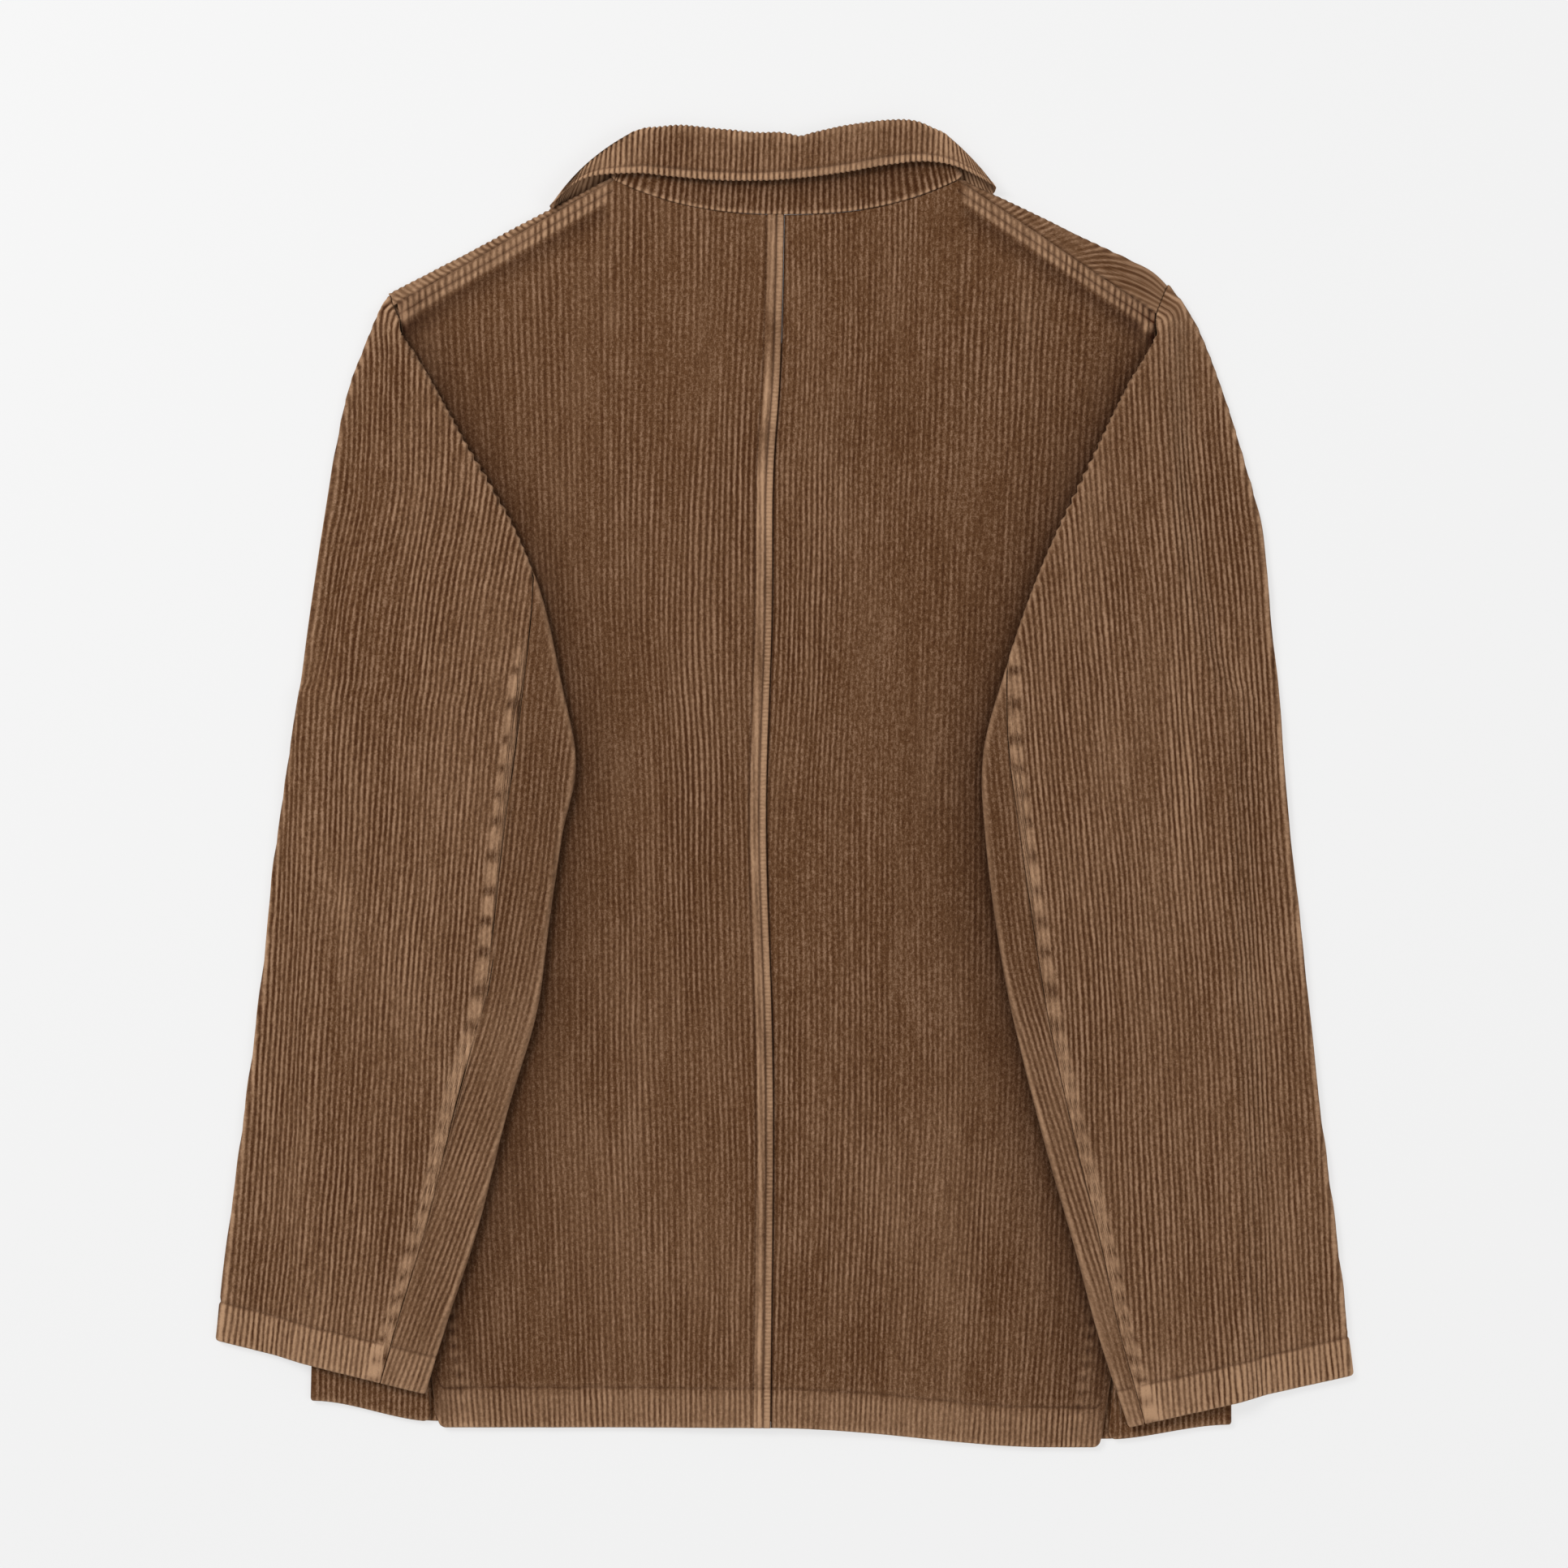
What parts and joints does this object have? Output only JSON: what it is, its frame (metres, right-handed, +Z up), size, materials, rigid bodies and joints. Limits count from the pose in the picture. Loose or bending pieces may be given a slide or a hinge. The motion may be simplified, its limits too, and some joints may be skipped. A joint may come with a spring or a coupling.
{
  "type": "corduroy jacket",
  "caption": "Corduroy jacket laid face down, with a turned-over collar, sleeves folded beside the body and the hem's corners open at the sides.",
  "frame": {"origin": "on the surface the jacket lies on, below the middle of its outline, to within half a millimetre", "axes": "+Z up from the surface, +Y from the hem to the collar, +X to the wearer's right, which is the right as seen from above"},
  "size_m": [0.6845, 0.7973, 0.0149],
  "materials": {
    "back_left": "corduroy",
    "back_right": "corduroy",
    "front_left": "corduroy",
    "front_right": "corduroy",
    "top_sleeve_left": "corduroy",
    "top_sleeve_right": "corduroy",
    "under_sleeve_left": "corduroy",
    "under_sleeve_right": "corduroy",
    "collar_stand": "corduroy",
    "collar_leaf": "corduroy"
  },
  "bodies": {
    "root": {"back_left": "back_left", "back_right": "back_right", "front_left": "front_left", "front_right": "front_right", "top_sleeve_left": "top_sleeve_left", "top_sleeve_right": "top_sleeve_right", "under_sleeve_left": "under_sleeve_left", "under_sleeve_right": "under_sleeve_right", "collar_stand": "collar_stand", "collar_leaf": "collar_leaf"}
  },
  "joints": []
}
